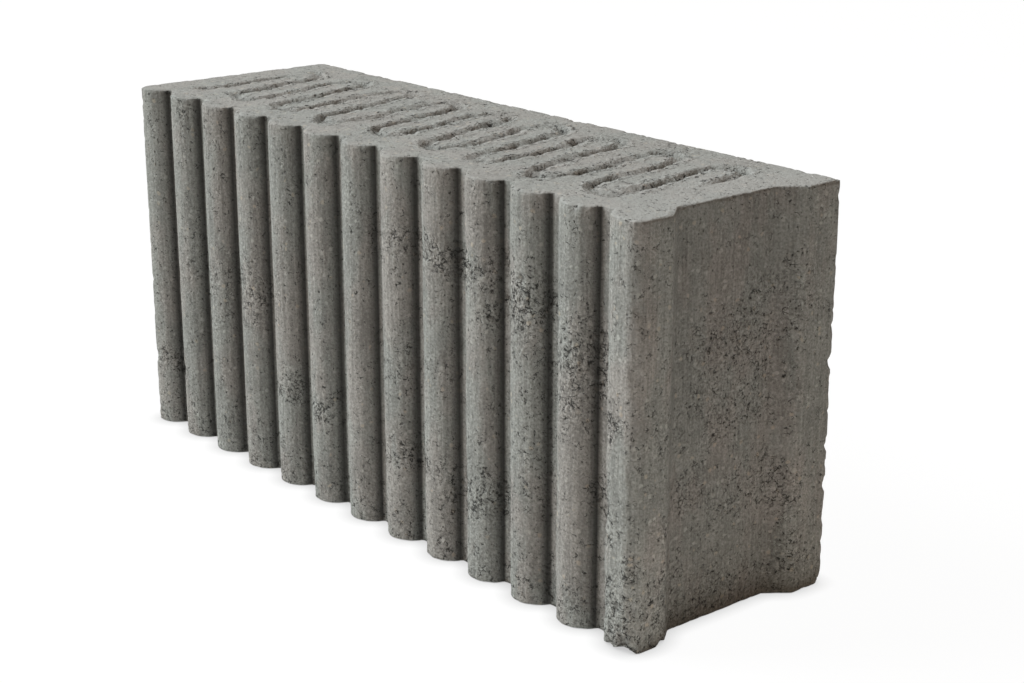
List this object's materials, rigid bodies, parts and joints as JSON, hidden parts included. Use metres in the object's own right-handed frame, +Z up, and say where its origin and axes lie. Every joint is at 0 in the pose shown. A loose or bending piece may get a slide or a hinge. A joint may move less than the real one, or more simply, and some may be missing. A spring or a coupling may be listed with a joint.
{
  "type": "fluted concrete block",
  "caption": "Solid cast concrete building block with one long face of rounded upright flutes and a shallow mortar recess up one end.",
  "frame": {"origin": "middle of the underside, at the level of the floor that the block stands on", "axes": "+X along the length towards the recessed end, +Y from the fluted face to the flat back, +Z up"},
  "size_m": [0.39, 0.12, 0.188],
  "materials": {
    "concrete": "rough cast"
  },
  "bodies": {
    "root": {"block": "concrete"}
  },
  "joints": []
}
